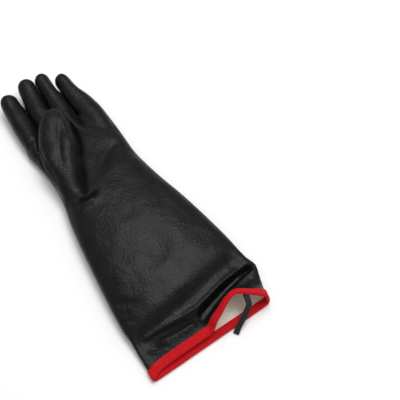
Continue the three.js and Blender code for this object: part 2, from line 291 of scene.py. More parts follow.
def grow(name, rows, around):
    """Grows a closed form along y: each row has the centre x, y, z, half sizes wide, high and a turn."""
    deselect_all()
    centres = [at(row["x"], row["y"], row["z"]) for row in rows]
    bpy.ops.mesh.primitive_circle_add(
        vertices=around, radius=MM, fill_type="NGON", location=centres[0], rotation=(math.pi / 2, 0, 0)
    )
    form = bpy.context.object
    form.name = name
    bpy.ops.object.transform_apply(location=True, rotation=True, scale=True)
    bpy.ops.object.mode_set(mode="EDIT")
    bpy.ops.mesh.select_all(action="SELECT")
    before = {"wide": 1, "high": 1, "turn": 0}
    for i, (row, centre) in enumerate(zip(rows, centres)):
        if i:
            bpy.ops.mesh.extrude_region_move(TRANSFORM_OT_translate={"value": centre - centres[i - 1]})
        wider, higher = row["wide"] / before["wide"], row["high"] / before["high"]
        bpy.ops.transform.resize(value=(wider, wider if i else 1, higher), center_override=centre)
        turned = math.radians(before["turn"] - row["turn"])
        bpy.ops.transform.rotate(value=turned, orient_axis="Z", center_override=centre)
        before = row
    bpy.ops.object.mode_set(mode="OBJECT")
    return form


def move_points(piece, change):
    """Moves all of a piece's points by a function of their places in the glove's millimetres."""
    mesh = piece.data
    flat = np.empty(len(mesh.vertices) * 3)
    mesh.vertices.foreach_get("co", flat)
    points = (flat.reshape(-1, 3) - np.array(MOUTH)) / MM
    moved = change(points) * MM + np.array(MOUTH)
    mesh.vertices.foreach_set("co", moved.ravel())
    mesh.update()


# %% The sleeve and palm form
BODY_AROUND = 96
BODY_STEP = 6
WASTE = 12  # the form runs this far out of the mouth, to be cut off
KNUCKLES = 376  # the web between the fingers


def body_form():
    rows = []
    for y in range(-WASTE, KNUCKLES + 1, BODY_STEP):
        middle, half, top, under, _ = (float(v) for v in body_sizes(y))
        rows.append({"x": middle, "y": y, "z": (top + under) / 2, "wide": half, "high": (top - under) / 2,
                     "turn": 0})
    form = grow("sleeve_form", rows, BODY_AROUND)
    move_points(form, flattened)
    return form


skin = body_form()
print("sleeve form:", len(skin.data.vertices), "points")

# %% The fingers and the thumb
DIGIT_COLUMNS = "x y z wide high"
DIGITS = {
    "index": named_rows(
        DIGIT_COLUMNS,
        (-48, 326, 14, 14, 11),
        (-52, 362, 14.5, 15, 13),
        (-52.8, 394, 15, 14.6, 13.4),
        (-52.4, 420, 17.5, 14, 13),
        (-51.8, 438, 21, 13.2, 12.4),
    ),
    "middle": named_rows(
        DIGIT_COLUMNS,
        (-22, 326, 14, 14, 11),
        (-23, 362, 15, 14.5, 13.5),
        (-23.5, 396, 16, 14.2, 13.4),
        (-22, 424, 19.5, 13.9, 13),
        (-20, 447, 25, 12.8, 12),
    ),
    "ring": named_rows(
        DIGIT_COLUMNS,
        (7, 326, 14, 14, 11),
        (6.2, 362, 15, 14, 13.5),
        (4.4, 396, 16, 13.2, 13.2),
        (4.2, 424, 20, 11.8, 12.8),
        (4.4, 444, 25, 11.1, 12),
    ),
    "little": named_rows(
        DIGIT_COLUMNS,
        (38, 326, 14, 17, 11),
        (38.5, 358, 14.5, 18.5, 13),
        (36, 388, 15.5, 16, 13),
        (31.6, 411, 18, 12.2, 12.6),
        (29, 431.5, 22, 11.3, 11.8),
    ),
    "thumb": named_rows(
        DIGIT_COLUMNS,
        (-46, 248, 18, 13.5, 12),
        (-44, 266, 23.5, 17, 14),
        (-39.5, 287, 30, 21.5, 14.5),
        (-36.3, 306, 35, 25.2, 13.7),
        (-31.5, 324, 39, 26, 13),
        (-26, 341, 40.5, 24, 12.5),
        (-20, 357, 41.5, 20.5, 12.5),
        (-15.5, 369, 41.5, 16, 12),
    ),
}
DIGIT_AROUND = 20
DIGIT_STEP = 6
TIP_RINGS = 4
TIP_FLAT = 0.3  # share of a ring left as the flat of its end
SLIMMER = 2.3  # a finger's sides that face another stand back by this much until the remesh is done
SLIM_SIDES = {"index": (0, 1), "middle": (1, 1), "ring": (1, 1), "little": (1, 0), "thumb": (0, 0)}
HIGHER = 6.5  # and the thumb this much above the palm, from its web to its free part
THUMB_WEB = (306, 332)
THUMB_END = 385


def thumb_lift(y):
    return HIGHER * smoothstep(*THUMB_WEB, y)


def digit_sizes(name, y):
    """The middle line x and z of a digit at y, and its half sizes wide and high."""
    return [value_at(DIGITS[name], "y", y, column) for column in ("x", "z", "wide", "high")]


def digit_rows(name):
    """Sections of a digit every few millimetres, with a rounded tip past the last one of its table."""
    table = DIGITS[name]
    first, last = table[0], table[-1]
    left, right = SLIM_SIDES[name]
    count = round((last["y"] - first["y"]) / DIGIT_STEP)
    rows = []
    for y in np.linspace(first["y"], last["y"], count + 1):
        x, z, wide, high = (float(size) for size in digit_sizes(name, y))
        behind, ahead = max(y - 1, first["y"]), min(y + 1, last["y"])
        leans = float(value_at(table, "y", ahead, "x")) - float(value_at(table, "y", behind, "x"))
        turn = -math.degrees(math.atan(leans / (ahead - behind)))
        lift = float(thumb_lift(y)) if name == "thumb" else 0
        rows.append({"x": x + SLIMMER * (left - right) / 2, "y": y, "z": z + lift,
                     "wide": wide - SLIMMER * (left + right) / 2, "high": high, "turn": turn})
    end, before = rows[-1], rows[-2]
    along = Vector([end[k] - before[k] for k in "xyz"]).normalized()
    for i in range(1, TIP_RINGS + 1):
        angle = math.pi / 2 * i / (TIP_RINGS + TIP_FLAT)
        reach, share = end["high"] * math.sin(angle), math.cos(angle)
        rows.append({"x": end["x"] + along.x * reach, "y": end["y"] + along.y * reach,
                     "z": end["z"] + along.z * reach, "wide": end["wide"] * share,
                     "high": end["high"] * share, "turn": end["turn"]})
    return rows


digits = [grow(f"{name}_form", digit_rows(name), DIGIT_AROUND) for name in DIGITS]
print("digits grown:", [len(digit.data.vertices) for digit in digits])

# %% Melt them into one skin
VOXEL = 2.3
SMOOTHING, SMOOTH_ROUNDS = 0.5, 6


def join(first, others):
    select_only(first)
    for other in others:
        other.select_set(True)
    bpy.ops.object.join()
    return first


skin = join(skin, digits)
edit_all(skin)
bpy.ops.mesh.normals_make_consistent(inside=False)
bpy.ops.object.mode_set(mode="OBJECT")
apply_modifier(skin, "REMESH", mode="VOXEL", voxel_size=VOXEL * MM)
apply_modifier(skin, "SMOOTH", factor=SMOOTHING, iterations=SMOOTH_ROUNDS)
skin.name = "shell_skin"
print("one skin:", len(skin.data.polygons), "faces")

# %% [markdown]
# Fingers together, thumb down, mouth open
#
# Now each finger's sides are moved out again from its middle line, and the free part of the thumb is
# lowered onto the palm. The thumb was grown as an oval, and its upper side is made a little fuller, with a
# rounder shoulder. Last, a straight bisect at the mouth takes the waste off and opens the glove.


# %% Put the digits right
def on_thumb(points, margin):
    """How far each point lies out from the raised thumb's middle line, as a share of its section."""
    x, y, z = points.T
    centre_x, centre_z, wide, high = digit_sizes("thumb", y)
    centre_z = centre_z + thumb_lift(y)
    apart = np.hypot((x - centre_x) / (wide + margin), (z - centre_z) / (high + margin))
    return np.where(y > THUMB_END, np.inf, apart)


FINGERS = ["index", "middle", "ring", "little"]
SPREAD_FROM = (KNUCKLES - 8, KNUCKLES + 4)
TOUCH_TO = np.array([418, 446, 414])  # up to here each two neighbours lie against each other
TOUCH_FADES = 9
TOUCH_GAP = 0.3  # from each to the line between them
ROUNDED_OFF = 0.8  # what the smoothing took from each side
THUMB_CLEAR = 4  # this near the thumb nothing is widened


def widen_fingers(points):
    x, y, z = points.T
    rows = [DIGITS[name] for name in FINGERS]
    middles = np.array([value_at(table, "y", y, "x") for table in rows])
    widths = np.array([value_at(table, "y", y, "wide") for table in rows])
    lines = (middles[:-1] + widths[:-1] + middles[1:] - widths[1:]) / 2
    nearest = np.argmin(np.abs(middles - x), axis=0)
    middle = np.take_along_axis(middles, nearest[None], 0)[0]
    wide = np.take_along_axis(widths, nearest[None], 0)[0]
    beside = nearest - (x < middle)
    outer = (beside < 0) | (beside >= len(lines))
    beside = np.clip(beside, 0, len(lines) - 1)
    room = np.abs(np.take_along_axis(lines, beside[None], 0)[0] - middle) - TOUCH_GAP
    touch = smoothstep(TOUCH_TO[beside] + TOUCH_FADES, TOUCH_TO[beside], y)
    full = wide + touch * (room - wide)
    share = np.where(outer | (on_thumb(points, THUMB_CLEAR) < 1), 0, smoothstep(*SPREAD_FROM, y))
    wider = 1 + share * (full / (wide - SLIMMER - ROUNDED_OFF * touch) - 1)
    away = np.abs(x - middle) * wider
    away = np.where(share * touch > 0.5, np.minimum(away, room), away)
    return np.stack([middle + np.sign(x - middle) * away, y, z], axis=1)


THUMB_SQUARENESS = 2.3  # it is pressed flatter than an oval
THUMB_FULL = (262, 292)
THUMB_MARGIN, THUMB_FADES = 2, (1.15, 1.0)  # what is lowered with it, and how that fades out round it


def lower_thumb(points):
    x, y, z = points.T
    thumb = smoothstep(*THUMB_FADES, on_thumb(points, THUMB_MARGIN))
    middle, centre, wide, high = digit_sizes("thumb", y)
    out = np.clip(np.abs(x - middle) / wide, 0, 1)
    fuller = (1 - out**THUMB_SQUARENESS) ** (1 / THUMB_SQUARENESS) - np.sqrt(1 - out**2)
    fuller = fuller * high * smoothstep(0, high, z - thumb_lift(y) - centre) * smoothstep(*THUMB_FULL, y)
    return np.stack([x, y, z + thumb * (fuller - thumb_lift(y))], axis=1)


move_points(skin, widen_fingers)
move_points(skin, lower_thumb)

# %% Open the mouth
edit_all(skin)
bpy.ops.mesh.bisect(plane_co=MOUTH, plane_no=(0, 1, 0), clear_inner=True, use_fill=False)
bpy.ops.object.mode_set(mode="OBJECT")
print("the mouth is open:", len(skin.data.polygons), "faces")

# %% [markdown]
# Folds
#
# The mouth is half closed. On the left its upper layer lies on the lower one, and on the right it stands
# up in an arch. Behind the arch a deep crease runs to the right edge, and behind that the sleeve steps
# down over its whole width to a thin crest. A cloth simulation could make such folds, but not in these
# places, so we move the points in code as a sculptor's brush would. Each stroke runs through a few places
# and lifts or presses the skin beside it. Its height fades over its width, evenly on both sides or slower
# on the side of the mouth, and with a round given it is a sharp fold instead of a soft swell.
#
# The remesh gave even faces, which are too coarse for a sharp fold. So the faces near such folds are
# selected by their place and subdivided once before anything moves.

# %% The arch and the slant of the mouth
ARCH = named_rows(
    "x height back",
    (-12, 0, 0),
    (-2, 0.4, 0),
    (5, 3, 0.4),
    (12, 12.5, 3.8),
    (24, 20, 8),
    (36, 27, 13),
    (48, 31, 15),
    (58, 30, 11),
    (71, 23, 4),
    (87, 12, 0),
    (97, 0, 0),
)
ARCH_REACH = 19
ARCH_FROM, FOLDS_FROM = (0, 0.3), (0.05, 0.7)  # how far up the section's side each fades in
UPPER_SET_BACK = 5.4  # the upper edge of the mouth lies this much further in than the lower
LOWER_BOW = 2.2  # how far the middle of the lower edge bows out
SKEW_SHARE, SKEW_PIVOT, SKEW_FADES = 0.045, 62, 60  # how the mouth slants, round where, and how far in
LEAST_HOLLOW = 9.2  # the deepest crease leaves the upper layer about this high, clear of both linings
SOFT_STOP = 3  # the crease is held at that height softly, over about this much
HELD_TO = 200  # and from the mouth to here


def height_round(points):
    """Where each point stands on its section: 1 at the top, 0 at the side edge, -1 underneath."""
    _, _, top, under, edge = body_sizes(points[:, 1])
    z = points[:, 2]
    above = np.clip((z - edge) / (top - edge), 0, 1) ** (TOP_SQUARENESS / 2)
    below = np.clip((edge - z) / (edge - under + PRESSED), 0, 1) ** (UNDER_SQUARENESS / 2)
    return np.where(z >= edge, above, -below)


# %% A stroke through a few places
def along_path(x, y, through):
    """How far each point is from a path, how far along it the nearest place is, its side, and the length."""
    away, gone, start = np.full(x.shape, np.inf), np.zeros(x.shape), 0
    behind = np.zeros(x.shape, bool)
    for (x0, y0), (x1, y1) in zip(through, through[1:]):
        run = math.hypot(x1 - x0, y1 - y0)
        s = np.clip(((x - x0) * (x1 - x0) + (y - y0) * (y1 - y0)) / run**2, 0, 1)
        distance = np.hypot(x - x0 - s * (x1 - x0), y - y0 - s * (y1 - y0))
        nearer = distance < away
        away, gone = np.where(nearer, distance, away), np.where(nearer, start + s * run, gone)
        behind = np.where(nearer, (x1 - x0) * (y - y0) > (y1 - y0) * (x - x0), behind)
        start += run
    return away, gone, behind, start


def stroke_lift(x, y, strokes):
    total = np.zeros_like(x)
    for stroke in strokes:
        away, gone, behind, length = along_path(x, y, stroke["through"])
        fade = stroke.get("fade", 0.3) * length
        ends = smoothstep(-stroke["width"], fade, gone) * smoothstep(-stroke["width"], fade, length - gone)
        width = stroke["width"] + (stroke.get("end_width", stroke["width"]) - stroke["width"]) * gone / length
        width = np.where(behind, width, stroke.get("front_width", width))
        if "round" in stroke:  # a fold that is sharp but for this round at its middle
            across = np.exp((stroke["round"] - np.hypot(away, stroke["round"])) / width)
        else:
            across = np.exp(-((away / width) ** 2))
        total += stroke["height"] * ends * across
    return total


# %% The folds of the cuff and hand
FOLDS = [
    {"name": "deep crease", "through": [(-1, 19), (12, 23.3), (25, 28), (50, 36.3), (70, 41), (97, 45)],
     "height": -23, "width": 6.6, "end_width": 3, "fade": 0.18},
    {"name": "step behind it", "through": [(-86, 34.5), (-50, 40), (-6, 46), (27, 51.5), (60, 57), (88, 64)],
     "height": -7.6, "width": 11.5, "end_width": 13.5, "front_width": 28, "fade": 0.1},
    {"name": "low ridge", "through": [(-62, 26), (-32, 22), (0, 19)], "height": 1.4, "width": 5,
     "front_width": 14},
    {"name": "left trough", "height": -4.5, "width": 3, "round": 1.0, "fade": 0.15, "sheen": 1,
     "through": [(-70, 34), (-56, 34.5), (-48, 34), (-38, 32.5), (-21, 30), (-10, 27.5), (2, 24)]},
    {"name": "closed mouth", "through": [(-86, -6), (-6, -6)], "height": -2, "width": 20, "fade": 0.12},
    {"name": "sleeve dent", "through": [(-4, 112), (10, 126)], "height": -3, "width": 18},
    {"name": "wrist ridge", "through": [(-54, 226), (-24, 226)], "height": 2.5, "width": 5},
    {"name": "thumb crease", "height": -7, "width": 1.9, "round": 0.8, "sheen": 1,
     "through": [(-50, 242), (-41, 238.5), (-35.5, 235), (-28, 236), (-18, 238.5)]},
    {"name": "fold below it", "through": [(-47, 230), (-38, 229), (-26, 229)], "height": 3, "width": 3.4},
    {"name": "palm dent", "through": [(46, 301), (24, 289), (6, 273), (-5, 262)], "height": -4.5, "width": 9},
]


def folded(points):
    x, y, z = points.T
    stands = height_round(points)
    _, _, top, under, edge = body_sizes(y)
    lifted = smoothstep(*FOLDS_FROM, stands)
    arched = smoothstep(*ARCH_FROM, stands) * np.exp(-((y / ARCH_REACH) ** 2))
    raised = z + lifted * stroke_lift(x, y, FOLDS) + arched * value_at(ARCH, "x", x, "height")
    up = np.clip((z - edge) / (top - edge), 0, 1)
    least = edge + (np.minimum(under + LEAST_HOLLOW, top) - edge) * up
    stopped = least + SOFT_STOP * np.logaddexp(0, (raised - least) / SOFT_STOP)
    new_z = np.where((stands > 0) & (y < HELD_TO), raised + (stopped - raised) * up, raised)
    apart = np.where(stands >= 0, lifted * UPPER_SET_BACK, stands * LOWER_BOW)
    slanted = (SKEW_SHARE * (x - SKEW_PIVOT) + apart) * np.exp(-y / SKEW_FADES)
    return np.stack([x, y + slanted + arched * value_at(ARCH, "x", x, "back"), new_z], axis=1)


# %% Fine creases, on the skin alone
CREASES = [
    {"name": "ridge line", "height": 3.2, "width": 2.8, "round": 2.8, "fade": 0.12, "sheen": 1,
     "through": [(-80, 32), (-75, 37), (-66, 38.8), (-48, 38), (-22, 36.3), (8, 35.8), (28, 39), (50, 44),
                 (70, 46.6), (91, 47)]},
    {"name": "front ridge", "height": 6, "width": 2.2, "round": 0.6, "fade": 0.2,
     "through": [(13, 10), (20, 17.5), (28, 24), (37, 28.8), (54, 34.8), (72, 38.8), (91, 42)]},
    {"name": "left ridge", "height": 2.8, "width": 2.6, "front_width": 12, "round": 2, "fade": 0.2,
     "through": [(-60, 28), (-48, 24), (-36, 21.5), (-22, 20), (-10, 21.5), (4, 22)]},
    {"name": "front left dip", "through": [(-70, 26), (-52, 17), (-44, 11)], "height": -1.4, "width": 2.5},
    {"name": "low left wrinkle", "through": [(-75, 26), (-67, 20), (-60, 14.5)], "height": 1.6, "width": 2.2},
    {"name": "corner wrinkle", "through": [(74, 20), (84, 27)], "height": 1.6, "width": 2.5},
    {"name": "upper left dent", "through": [(-80, 92), (-72, 89), (-53, 76)], "height": -2.4, "width": 4.5},
    {"name": "middle left dent", "through": [(-82, 82), (-66, 72)], "height": -2, "width": 3},
    {"name": "lower left dent", "through": [(-86, 72), (-66, 61)], "height": -2, "width": 3},
    {"name": "edge crease", "through": [(-58, 256), (-66, 228), (-70, 199)], "height": -1.6, "width": 3},
    {"name": "heel crease", "through": [(-62, 335), (-50, 347)], "height": -1.6, "width": 2.5, "round": 1.2},
    {"name": "index base crease", "through": [(-66, 352), (-56, 360), (-48, 362)], "height": -1.6,
     "width": 2.5},
    {"name": "thumb dent", "through": [(-9, 360), (-17, 344), (-28, 323), (-37, 304), (-41, 284)],
     "height": -3.2, "width": 5, "round": 1.5},
    {"name": "beside the thumb", "height": -10, "width": 2.2, "round": 0.8, "fade": 0.12, "sheen": 1,
     "through": [(-36.5, 238), (-33, 250), (-23.5, 275), (-14.5, 299), (-3.5, 321), (1.5, 340), (3, 361)]},
    {"name": "left of the thumb", "height": -2.5, "width": 3, "fade": 0.12, "sheen": 1,
     "through": [(-38.5, 373), (-46, 358), (-52.5, 339), (-57, 317), (-57.5, 296), (-58, 272)]},
    {"name": "ring to little", "through": [(17.5, 392), (16, 370), (16.5, 354), (18, 342)], "height": -8,
     "width": 2.4, "round": 0.8, "sheen": 1},
    {"name": "index to middle", "through": [(-38, 392), (-39, 376), (-43, 362)], "height": -7, "width": 2.4,
     "round": 0.8, "sheen": 1},
]
SLACK = [
    {"size": 26, "height": 1.0},
    {"size": 10, "height": 0.3},
]
SLACK_FROM = (6, 20)  # the skin lies true near the mouth, where the tape holds it
SLACK_UP = (0.1, 0.6)  # and low on its sides


def creased(points):
    """Fine creases, and the slack of a soft skin: shallow swells of no regular pattern."""
    x, y, z = points.T
    free = smoothstep(*SLACK_FROM, y) * smoothstep(*SLACK_UP, height_round(points))
    swell = np.zeros_like(x)
    for wave in SLACK:
        swell += wave["height"] * np.array([noise.noise(Vector(p) / wave["size"]) for p in points])
    return np.stack([x, y, z + free * (swell + stroke_lift(x, y, CREASES))], axis=1)


# %% Finer faces where the skin folds sharply
FINE_BAND = (9, 52)  # the folds of the cuff lie between these
FINE_ABOVE, FINE_BESIDE = 6, 3.7  # above this height, and this near the strokes with a sheen of their own
DULL_DEPTH = 4  # a crease as deep as this is dull all through
DULL_FROM = (0, 0.3)  # how far up the section's side the dullness fades in
POLISHED = -0.12  # as little dull as the crest of a fold gets
SUBDIVIDE_ROUND = 0.5  # how round the new faces lie
SHEEN = [stroke for stroke in CREASES + FOLDS if "sheen" in stroke]


def in_millimetres(collection, name):
    """The places of a mesh's points or faces, in the glove's millimetres."""
    flat = np.empty(len(collection) * 3)
    collection.foreach_get(name, flat)
    return (flat.reshape(-1, 3) - np.array(MOUTH)) / MM


def folds_sharply(points):
    x, y, z = points.T
    beside = np.min([along_path(x, y, stroke["through"])[0] for stroke in SHEEN], axis=0)
    cuff = (y > FINE_BAND[0]) & (y < FINE_BAND[1])
    return (z > FINE_ABOVE) & (cuff | (beside < FINE_BESIDE))


def dullness_of(points):
    """How dull each point is: up to 1 in a crease that hands never polish, and below 0 on a rubbed crest."""
    x, y, _ = points.T
    upper = smoothstep(*DULL_FROM, height_round(points))
    return upper * np.clip(-stroke_lift(x, y, SHEEN) / DULL_DEPTH, POLISHED, 1)


chosen = folds_sharply(in_millimetres(skin.data.polygons, "center"))
select_only(skin)
bpy.ops.object.mode_set(mode="EDIT")
bpy.ops.mesh.select_all(action="DESELECT")
bpy.ops.object.mode_set(mode="OBJECT")
skin.data.polygons.foreach_set("select", chosen)
bpy.ops.object.mode_set(mode="EDIT")
bpy.ops.mesh.subdivide(number_cuts=1, smoothness=SUBDIVIDE_ROUND)
bpy.ops.object.mode_set(mode="OBJECT")
print("with finer faces at the folds:", len(skin.data.polygons))

# %% Crease and fold
dullness = skin.data.attributes.new("dullness", "FLOAT", "POINT")
how_dull = dullness_of(in_millimetres(skin.data.vertices, "co"))
dullness.data.foreach_set("value", how_dull.astype(np.float32))
move_points(skin, creased)
move_points(skin, folded)
print("strokes:", len(CREASES) + len(FOLDS))

# %% [markdown]
# The wall
#
# So far the skin is only a surface. A dipped glove has an even wall, because the liquid rubber drains to
# an even coat, so the Solidify modifier, which adds an even thickness inwards, is the natural way.

# %% Give the skin its thickness
SHELL_WALL, LINING_WALL, TAPE, GAP = 1.6, 1.0, 0.8, 0.3


def finish_piece(piece, node, material):
    """Rounds the shading, gives the material, and lets the piece take the place of its plain solid."""
    select_only(piece)
    bpy.ops.object.shade_smooth()
    piece.data.materials.clear()
    piece.data.materials.append(material)
    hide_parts(node)
    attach(piece, "root")


skin.name = "dipped_shell"
apply_modifier(skin, "SOLIDIFY", thickness=SHELL_WALL * MM, offset=-1, use_even_offset=False)
print("dipped shell:", len(skin.data.polygons), "faces")

# %% [markdown]
# Black neoprene
#
# The rubber is a deep black with a satin face. Its sheen isn't even: the dipped face carries a fine pebble
# grain, and it has been handled, so some patches are duller. Deep in a crease no hand polishes it, so it
# is dull there, and a crest is a little shinier: the skin keeps both in an attribute. We read the place in
# the piece itself, in metres, so a cell of the grain is a little over a millimetre.

# %% Neoprene
GRAIN = 820  # cells of the pebble grain in a metre
PORES = 2300
CRUMPLE = 300
PATCHES = 38
GRAIN_HIGH, PORES_HIGH, CRUMPLE_HIGH = 0.00022, 0.00008, 0.0006  # metres
NEOPRENE_BLACK, NEOPRENE_DUSTY = (0.0030, 0.0030, 0.0028, 1), (0.0065, 0.0065, 0.0060, 1)
WORN = (-0.6, 1.6)  # stretches the patches' noise over the whole way from black to dusty
POLISH = (0.27, 0.42)  # roughness of the shiniest and the dullest patches
CREASE_DULLNESS = 0.5  # what full dullness adds to it


def new_material(name, **constants):
    """A material and its shader, with the shader's constant values on its own sockets."""
    material = bpy.data.materials.new(name)
    material.use_nodes = True
    shader = material.node_tree.nodes["Principled BSDF"]
    for socket, value in constants.items():
        shader.inputs[socket.replace("_", " ")].default_value = value
    return material, shader


def add_node(material, kind, inputs=None, **settings):
    """Adds a node, sets it, and links or sets its inputs."""
    node = material.node_tree.nodes.new(kind)
    for name, value in settings.items():
        setattr(node, name, value)
    for socket, value in (inputs or {}).items():
        if isinstance(value, bpy.types.NodeSocket):
            material.node_tree.links.new(value, node.inputs[socket])
        else:
            node.inputs[socket].default_value = value
    return node


def object_place(material):
    """The place in the piece itself, in metres."""
    return add_node(material, "ShaderNodeTexCoord").outputs["Object"]


def speckle(material, place, **settings):
    """Soft noise, from 0 to 1."""
    return add_node(material, "ShaderNodeTexNoise", {"Vector": place, **settings}).outputs["Fac"]


def link_shader(material, shader, **outputs):
    """Links what varies over a piece to the shader. What doesn't stays on the shader's own sockets."""
    for socket, value in outputs.items():
        material.node_tree.links.new(value, shader.inputs[socket.replace("_", " ")])


def blend_colours(material, share, low, high):
    """A ramp from one colour to another over a share that runs from 0 to 1."""
    ramp = add_node(material, "ShaderNodeValToRGB", {"Fac": share})
    ramp.color_ramp.elements[0].color, ramp.color_ramp.elements[1].color = low, high
    return ramp.outputs["Color"]


def between(material, share, low, high):
    """A number from low to high over a share that runs from 0 to 1."""
    node = add_node(material, "ShaderNodeMapRange", {"Value": share, "To Min": low, "To Max": high})
    return node.outputs["Result"]


def bump(material, height, distance, below=None):
    """Raised by height times a distance in metres, on top of the bump below."""
    inputs = {"Height": height, "Distance": distance, "Strength": 1.0}
    if below is not None:
        inputs["Normal"] = below
    return add_node(material, "ShaderNodeBump", inputs).outputs["Normal"]


def neoprene():
    material, shader = new_material("black_neoprene", Specular_IOR_Level=0.17)
    place = object_place(material)
    grain = add_node(material, "ShaderNodeTexVoronoi", {"Vector": place, "Scale": GRAIN, "Randomness": 1.0},
                     feature="SMOOTH_F1").outputs["Distance"]
    pores = speckle(material, place, Scale=PORES, Detail=2.0)
    patches = speckle(material, place, Scale=PATCHES, Detail=5.0, Roughness=0.62)
    worn = between(material, patches, *WORN)
    colour = blend_colours(material, worn, NEOPRENE_BLACK, NEOPRENE_DUSTY)
    polish = between(material, worn, *POLISH)
    dull = add_node(material, "ShaderNodeAttribute", attribute_name="dullness").outputs["Fac"]
    rough = add_node(material, "ShaderNodeMath", {0: dull, 1: CREASE_DULLNESS, 2: polish},
                     operation="MULTIPLY_ADD").outputs["Value"]
    crumple = speckle(material, place, Scale=CRUMPLE, Detail=2.0)
    normal = bump(material, crumple, CRUMPLE_HIGH)
    normal = bump(material, grain, GRAIN_HIGH, normal)
    normal = bump(material, pores, PORES_HIGH, normal)
    link_shader(material, shader, Base_Color=colour, Roughness=rough, Normal=normal)
    return material


finish_piece(skin, "shell", neoprene())
print("neoprene grain, mm:", round(1000 / GRAIN, 2))

# %% [markdown]
# Round the mouth
#
# The lining, the tape and its stitches all follow the mouth, whatever its folds. So we make each flat, as
# it is before it is sewn, and then lay it: its length runs round the mouth, its width in from the edge,
# and its height out from the skin. The lay is a function of three distances in millimetres.

# %% A place by distances round, in and out
TURNS = np.linspace(0, 2 * np.pi, 2881)
MEASURED_IN = 4.0  # the mouth is measured round this far in from its edge
EDGE_PLACES = folded(section(TURNS, np.full(TURNS.shape, MEASURED_IN)))
LENGTHS = np.concatenate([[0], np.cumsum(np.linalg.norm(np.diff(EDGE_PLACES, axis=0), axis=1))])
MOUTH_ROUND = LENGTHS[-1]
NEAR = 0.6  # the step over which a direction is measured
WELD = 0.01  # the two ends of a strip that goes all the way round are nearer than this


def unit(vectors):
    return vectors / np.linalg.norm(vectors, axis=1, keepdims=True)


def facing(place, around, y):
    """Which way a surface faces, from its places a step around and a step in."""
    ahead = place(around + NEAR, y) - place(around - NEAR, y)
    deeper = place(around, y + NEAR) - place(around, y - NEAR)
    return unit(np.cross(deeper, ahead))


def on_skin(around, y, out):
    """A point out from the folded skin. The step out is a flat section's, turned as the fold turns it."""
    def flat(a, b, grown=0.0):
        return section(np.interp(a % MOUTH_ROUND, LENGTHS, TURNS), b, grown)

    def fold(a, b):
        return folded(flat(a, b))

    before, after = facing(flat, around, y), facing(fold, around, y)
    axis = np.cross(before, after)
    step = flat(around, y, out) - flat(around, y)
    cosine = np.sum(before * after, axis=1, keepdims=True)
    along_axis = np.sum(axis * step, axis=1, keepdims=True)
    turned = step * cosine + np.cross(axis, step) + axis * along_axis / (1 + cosine)
    return fold(around, y) + turned


def flat_cloth(name, columns, rows, length, width):
    """A flat piece of cloth: its length along x, its width along y, and its UV map over both."""
    deselect_all()
    bpy.ops.mesh.primitive_grid_add(x_subdivisions=columns, y_subdivisions=rows, size=MM)
    piece = bpy.context.object
    piece.name = name
    bpy.ops.object.mode_set(mode="EDIT")
    bpy.ops.transform.resize(value=(length, width, 1), center_override=(0, 0, 0))
    bpy.ops.transform.translate(value=(length / 2 * MM, width / 2 * MM, 0))
    bpy.ops.object.mode_set(mode="OBJECT")
    return piece


def lay(piece, place):
    """Moves every point of a flat piece from its length, width and height to its place on the glove."""
    move_points(piece, lambda points: place(*(points + np.array(MOUTH) / MM).T))
    edit_all(piece)
    bpy.ops.mesh.remove_doubles(threshold=WELD * MM)
    bpy.ops.object.mode_set(mode="OBJECT")


print("round the mouth, mm:", round(MOUTH_ROUND))

# %% [markdown]
# The cotton lining
#
# Inside the rubber is a thin cotton jersey, cream and a little fuzzy. It shows only in the open mouth, so
# it is made from the mouth to the wrist. It is laid 0.3 mm inside the rubber's wall, hangs a little looser
# behind the tape, and gets its own thickness towards the hand.

# %% Lay the lining
LINING_END = 227
LINING_COLUMNS, LINING_ROWS = 150, 92
LINING_OUT = SHELL_WALL + GAP
LINING_LOOSER = 1.5  # it hangs this much further in behind the tape
LINING_LOOSENS = (9, 20)  # and loosens between these places
LINING_FROM = 0.3  # its edge stands back this much from the mouth's


def lining_place(around, y, out):
    deep = LINING_FROM + y
    return on_skin(around, deep, -LINING_OUT - LINING_LOOSER * smoothstep(*LINING_LOOSENS, deep) - out)


lining = flat_cloth("cotton_lining", LINING_COLUMNS, LINING_ROWS, MOUTH_ROUND, LINING_END)
lay(lining, lining_place)
apply_modifier(lining, "SOLIDIFY", thickness=LINING_WALL * MM, offset=1)
print("lining:", len(lining.data.polygons), "faces")

# %% Cotton
# The darker cotton colour serves both the painted shade in the knit's valleys and the fuzz's random tone
COTTON_LIGHT, COTTON_SHADE = (0.93, 0.88, 0.79, 1), (0.80, 0.72, 0.61, 1)
WALE, COURSE = 1.3, 1.0  # millimetres from rib to rib, and from row to row, of the knit
KNIT_BEND, KNIT_PAINTED_SHADE = 0.6, 0.45  # how much the ribs wander, and how much painted shade darkens their valleys
KNIT_HIGH, FUZZ_HIGH = 0.00035, 0.0004  # metres


def across_cloth(material, length, width):
    """The piece's own UV map, in millimetres along and across the cloth."""
    flat = add_node(material, "ShaderNodeUVMap").outputs["UV"]
    mapped = add_node(material, "ShaderNodeMapping", {"Vector": flat, "Scale": (length, width, 1)})
    return mapped.outputs["Vector"]


def ribs(material, place, direction, spacing, bend=0.0):
    """Round ribs of a spacing in millimetres, across a direction of the cloth."""
    wave = add_node(material, "ShaderNodeTexWave",
                    {"Vector": place, "Scale": math.pi / 10 / spacing, "Distortion": bend, "Detail": 1.0,
                     "Detail Scale": 2.0}, wave_type="BANDS", bands_direction=direction)
    return wave.outputs["Fac"]


def math_node(material, operation, first, second):
    node = add_node(material, "ShaderNodeMath", {0: first, 1: second}, operation=operation)
    return node.outputs["Value"]


def crossed_ribs(material, place, along, across, bend):
    """Ribs along the cloth's length crossed by ribs over its width."""
    return math_node(material, "MULTIPLY", ribs(material, place, "X", along, bend),
                     ribs(material, place, "Y", across, bend))


